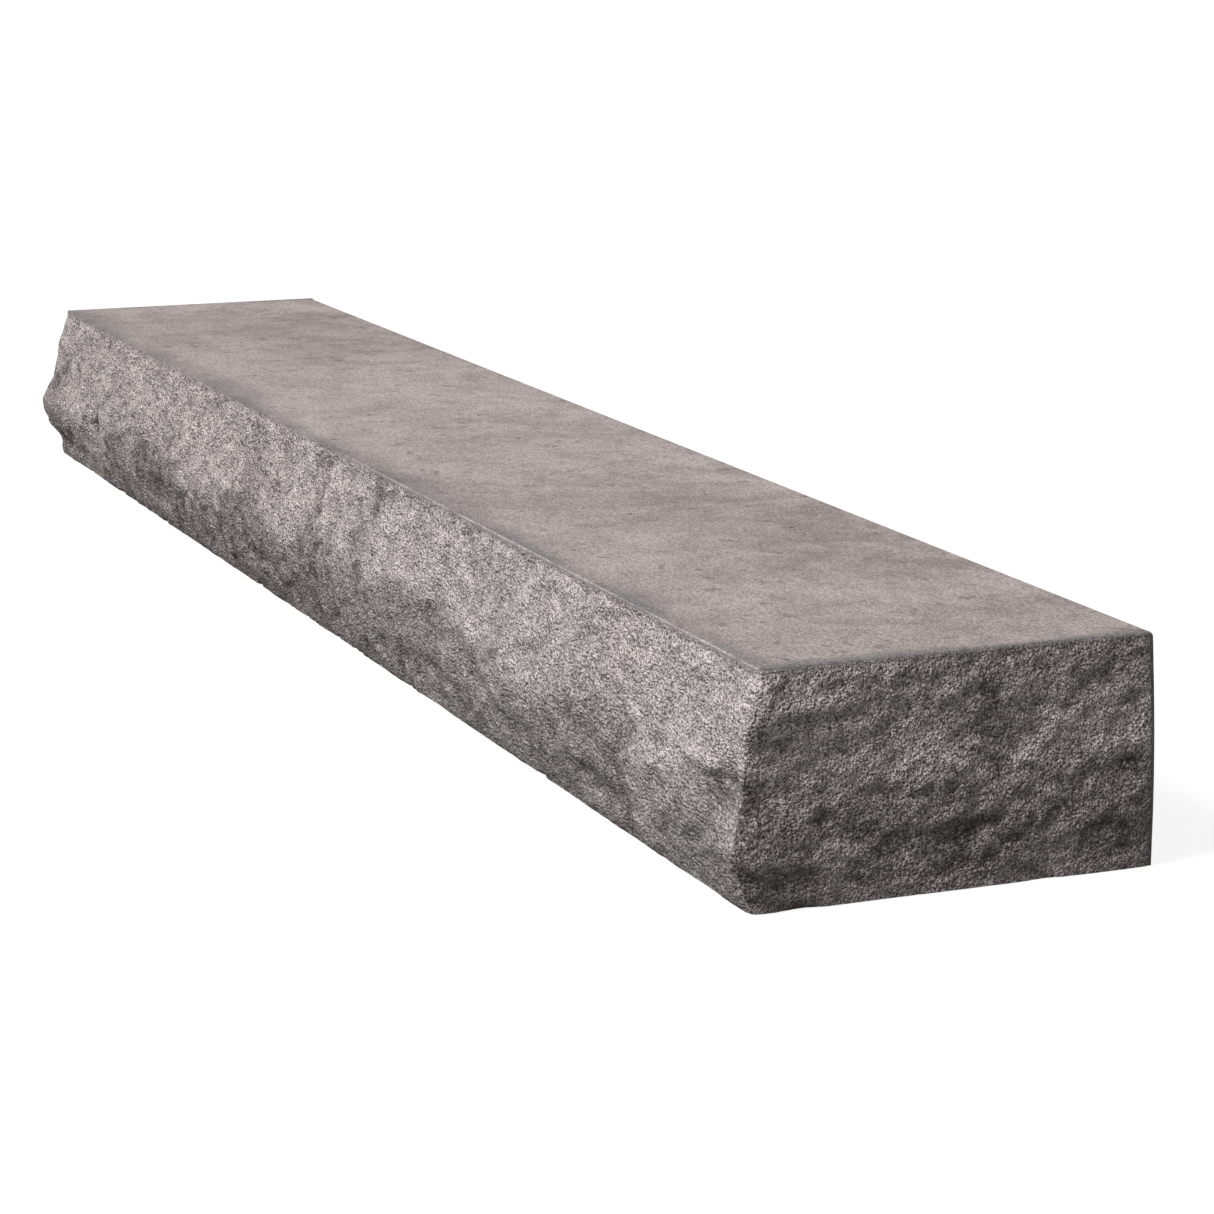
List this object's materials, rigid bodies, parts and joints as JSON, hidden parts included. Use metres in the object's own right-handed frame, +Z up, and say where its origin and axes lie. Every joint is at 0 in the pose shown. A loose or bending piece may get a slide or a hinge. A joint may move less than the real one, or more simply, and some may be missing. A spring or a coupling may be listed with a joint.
{
  "type": "rock-faced concrete kerb unit",
  "caption": "Long reinforced concrete kerb and step slab with a smooth flat top, a rough rock-faced front and rock-faced ends, and threaded lifting sockets in its plain back.",
  "frame": {"origin": "on the ground, under the middle of the unit's bounding box", "axes": "+X along the length, -Y out of the rock front, +Y out of the plain back, +Z up out of the flat top"},
  "size_m": [1.7967, 0.296, 0.152],
  "materials": {
    "concrete": "matte",
    "block_concrete": "matte",
    "bar_steel": "matte",
    "hoop_steel": "matte",
    "tie_steel": "satin",
    "zinc_steel": "satin"
  },
  "bodies": {
    "root": {"concrete_body": "concrete", "front_top_bar": "bar_steel", "front_bottom_bar": "bar_steel", "rear_top_bar": "bar_steel", "rear_bottom_bar": "bar_steel", "hoop_1": "hoop_steel", "hoop_2": "hoop_steel", "hoop_3": "hoop_steel", "hoop_4": "hoop_steel", "hoop_5": "hoop_steel", "hoop_6": "hoop_steel", "hoop_7": "hoop_steel", "hoop_8": "hoop_steel", "hoop_9": "hoop_steel", "tie_wires": "tie_steel", "cover_blocks": "block_concrete", "lifting_socket_left": "zinc_steel", "lifting_socket_right": "zinc_steel", "anchor_bar_left": "bar_steel", "anchor_bar_right": "bar_steel"}
  },
  "joints": []
}
